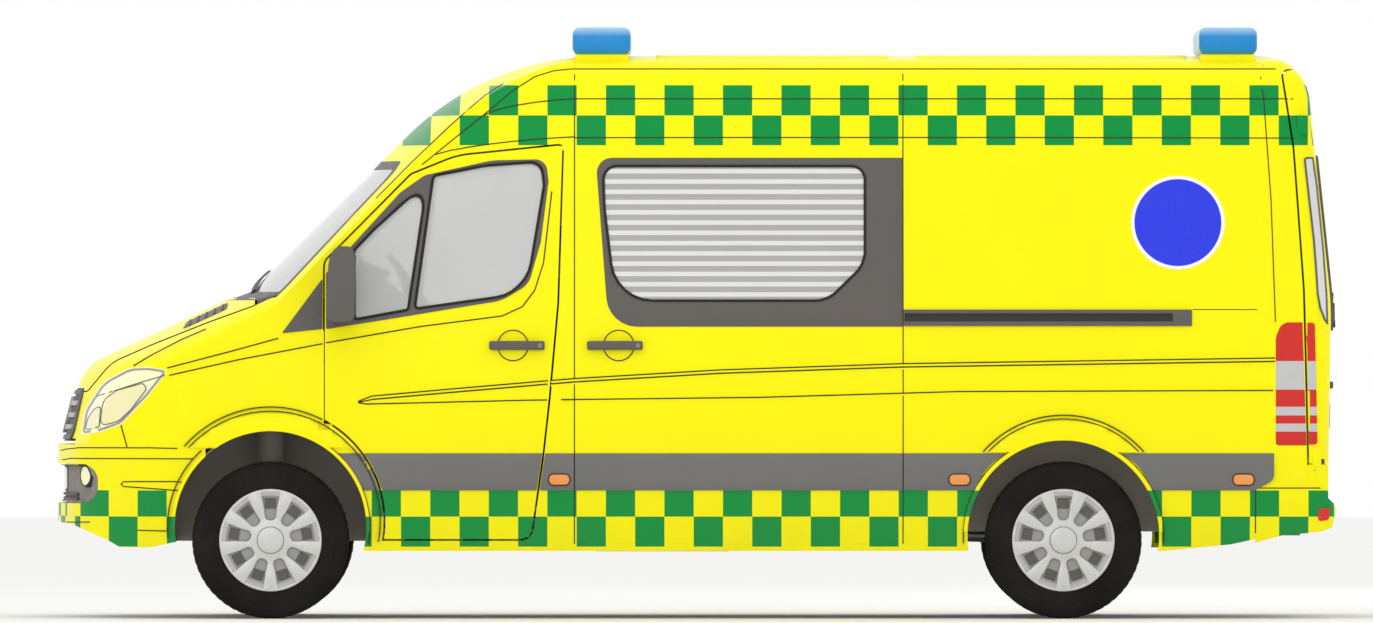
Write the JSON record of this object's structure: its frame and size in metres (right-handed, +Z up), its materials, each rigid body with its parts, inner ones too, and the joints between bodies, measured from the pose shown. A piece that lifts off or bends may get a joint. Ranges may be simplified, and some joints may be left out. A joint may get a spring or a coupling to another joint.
{
  "type": "ambulance van",
  "caption": "Long high-roof ambulance van with hinged front and rear doors, a lifting hood, steered front wheels and full-width light bars.",
  "frame": {"origin": "on the ground, at the middle of the overall length and width", "axes": "+Z up, -X towards the nose, -Y towards the vehicle left side"},
  "size_m": [5.9286, 2.427, 2.7353],
  "materials": {
    "body_paint": "gloss",
    "dark_trim": "grained",
    "glass": "clear",
    "lamp_lens": "clear",
    "lamp_red": "gloss",
    "beacon": "gloss",
    "chassis": "satin",
    "cast": "rough",
    "steel": "satin",
    "rim": "satin",
    "tyre": "matte",
    "rubber": "matte",
    "cabin_plastic": "grained",
    "seat_fabric": "woven",
    "floor_vinyl": "matte",
    "liner": "matte",
    "wall_panel": "satin"
  },
  "bodies": {
    "body": {"roof_panels": "body_paint", "body_side_left": "body_paint", "body_side_right": "body_paint", "sliding_doors": "body_paint", "sliding_door_glass": "glass", "windscreen": "glass", "cowl": "dark_trim", "front_wings": "body_paint", "headlights": "lamp_lens", "grille": "dark_trim", "front_bumper": "body_paint", "rear_bumper": "body_paint", "taillights": "lamp_red", "wheel_housings": "liner", "underframe": "chassis", "floor": "floor_vinyl", "bulkheads": "wall_panel", "front_suspension": "chassis", "rear_axle": "cast", "leaf_springs": "steel", "prop_shaft": "steel", "engine_block": "cast", "fuel_tank": "liner", "exhaust": "steel", "dashboard": "cabin_plastic", "seat_bases": "cabin_plastic", "seat_cushions": "seat_fabric", "light_bars": "beacon", "wipers": "rubber"},
    "knuckle_l": {"knuckle_left": "cast"},
    "knuckle_r": {"knuckle_right": "cast"},
    "steering": {"steering_wheel": "rubber"},
    "door_front_left": {"front_door_left": "body_paint", "front_door_glass_left": "glass", "mirror_left": "dark_trim"},
    "door_front_right": {"front_door_right": "body_paint", "front_door_glass_right": "glass", "mirror_right": "dark_trim"},
    "door_rear_left": {"rear_door_left": "body_paint", "rear_door_glass_left": "glass"},
    "door_rear_right": {"rear_door_right": "body_paint", "rear_door_glass_right": "glass"},
    "hood_lid": {"hood": "body_paint"},
    "wheel_front_left": {"tyre_front_left": "tyre", "rim_front_left": "rim"},
    "wheel_front_right": {"tyre_front_right": "tyre", "rim_front_right": "rim"},
    "wheel_rear_left": {"tyre_rear_left": "tyre", "rim_rear_left": "rim"},
    "wheel_rear_right": {"tyre_rear_right": "tyre", "rim_rear_right": "rim"}
  },
  "joints": [
    {"name": "steer_left", "type": "hinge", "parent": "body", "child": "knuckle_l", "pos_m": [-1.961, -0.74, 0.362], "axis": [0, 0, 1], "range_deg": [-35, 35]},
    {"name": "steer_right", "type": "hinge", "parent": "body", "child": "knuckle_r", "pos_m": [-1.961, 0.74, 0.362], "axis": [0, 0, 1], "range_deg": [-35, 35]},
    {"name": "steering_wheel_turn", "type": "hinge", "parent": "body", "child": "steering", "pos_m": [-1.301, -0.48, 1.525], "axis": [0.7986, 0, 0.6018], "range_deg": [-525, 525]},
    {"name": "spin_front_left", "type": "hinge", "parent": "knuckle_l", "child": "wheel_front_left", "pos_m": [-1.961, -0.855, 0.362], "axis": [0, 1, 0], "continuous": true},
    {"name": "spin_front_right", "type": "hinge", "parent": "knuckle_r", "child": "wheel_front_right", "pos_m": [-1.961, 0.855, 0.362], "axis": [0, 1, 0], "continuous": true},
    {"name": "spin_rear_left", "type": "hinge", "parent": "body", "child": "wheel_rear_left", "pos_m": [1.704, -0.855, 0.362], "axis": [0, 1, 0], "continuous": true},
    {"name": "spin_rear_right", "type": "hinge", "parent": "body", "child": "wheel_rear_right", "pos_m": [1.704, 0.855, 0.362], "axis": [0, 1, 0], "continuous": true},
    {"name": "front_door_left_hinge", "type": "hinge", "parent": "body", "child": "door_front_left", "pos_m": [-1.6795, -0.985, 1.2], "axis": [0, 0, -1], "range_deg": [0, 70]},
    {"name": "front_door_right_hinge", "type": "hinge", "parent": "body", "child": "door_front_right", "pos_m": [-1.6795, 0.985, 1.2], "axis": [0, 0, 1], "range_deg": [0, 70]},
    {"name": "rear_door_left_hinge", "type": "hinge", "parent": "body", "child": "door_rear_left", "pos_m": [2.8655, -0.982, 1.2], "axis": [0, 0, -1], "range_deg": [0, 180]},
    {"name": "rear_door_right_hinge", "type": "hinge", "parent": "body", "child": "door_rear_right", "pos_m": [2.8655, 0.982, 1.2], "axis": [0, 0, 1], "range_deg": [0, 180]},
    {"name": "hood_hinge", "type": "hinge", "parent": "body", "child": "hood_lid", "pos_m": [-1.991, 0, 1.456], "axis": [0, 1, 0], "range_deg": [0, 50]}
  ],
  "couplings": [
    {"joint": "steer_right", "follows": "steer_left", "ratio": 1},
    {"joint": "steering_wheel_turn", "follows": "steer_left", "ratio": 15}
  ]
}
